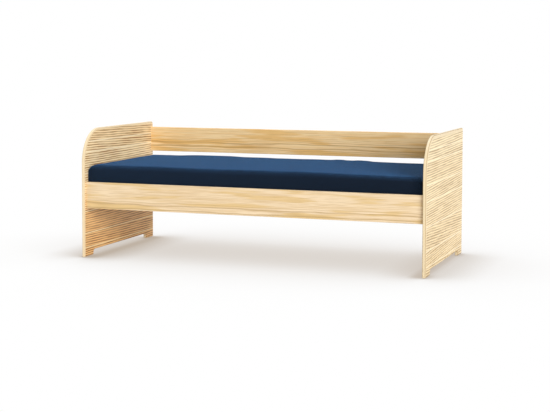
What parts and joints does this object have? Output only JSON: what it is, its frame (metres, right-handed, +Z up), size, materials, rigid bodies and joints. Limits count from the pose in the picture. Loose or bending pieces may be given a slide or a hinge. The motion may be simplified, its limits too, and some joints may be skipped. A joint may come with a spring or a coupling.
{
  "type": "bench bed",
  "caption": "Pine bench bed with solid end panels rounded at the front, a front rail, an upper back board, a slat base that lifts out and a navy foam mattress.",
  "frame": {"origin": "on the floor, at the centre of the bed", "axes": "+X along the bed towards the right-hand end panel, -Y towards the front, +Z up"},
  "size_m": [2.046, 0.97, 0.755],
  "materials": {
    "pine_panel": "satin",
    "pine_board": "satin",
    "pine_batten": "matte",
    "pine_slat": "matte",
    "beech": "matte",
    "zinc_steel": "satin",
    "zinc_casting": "satin",
    "white_nylon": "matte",
    "grey_nylon": "matte",
    "strap_webbing": "matte",
    "foam": "matte",
    "navy_fabric": "matte",
    "zip_tape": "satin",
    "slider_metal": "satin"
  },
  "bodies": {
    "frame": {"left_panel": "pine_panel", "right_panel": "pine_panel", "front_rail": "pine_board", "rear_rail": "pine_board", "back_board": "pine_board", "front_ledge": "pine_batten", "rear_ledge": "pine_batten", "front_ledge_screws": "zinc_steel", "rear_ledge_screws": "zinc_steel", "connector_bolts": "zinc_steel", "threaded_sleeves": "white_nylon", "cam_nuts": "zinc_casting", "dowels": "beech", "left_front_glide": "grey_nylon", "left_rear_glide": "grey_nylon", "right_front_glide": "grey_nylon", "right_rear_glide": "grey_nylon", "glide_nails": "zinc_steel"},
    "slat_base": {"slat_01": "pine_slat", "slat_02": "pine_slat", "slat_03": "pine_slat", "slat_04": "pine_slat", "slat_05": "pine_slat", "slat_06": "pine_slat", "slat_07": "pine_slat", "slat_08": "pine_slat", "slat_09": "pine_slat", "slat_10": "pine_slat", "slat_11": "pine_slat", "slat_12": "pine_slat", "slat_13": "pine_slat", "slat_14": "pine_slat", "slat_15": "pine_slat", "slat_16": "pine_slat", "front_strap": "strap_webbing", "rear_strap": "strap_webbing", "slat_staples": "zinc_steel"},
    "mattress": {"mattress_core": "foam", "mattress_cover_top": "navy_fabric", "mattress_cover_base": "navy_fabric", "top_piping": "navy_fabric", "cover_zip": "zip_tape"},
    "zip_slider": {"zip_slider": "slider_metal"}
  },
  "joints": [
    {"name": "slat_base_lift", "type": "slide", "parent": "frame", "child": "slat_base", "axis": [0, 0, 1], "range_m": [0, 0.45]},
    {"name": "mattress_lift", "type": "slide", "parent": "slat_base", "child": "mattress", "axis": [0, 0, 1], "range_m": [0, 0.4]},
    {"name": "zip_slide", "type": "slide", "parent": "mattress", "child": "zip_slider", "axis": [0, 1, 0], "range_m": [0, 0.77]}
  ]
}
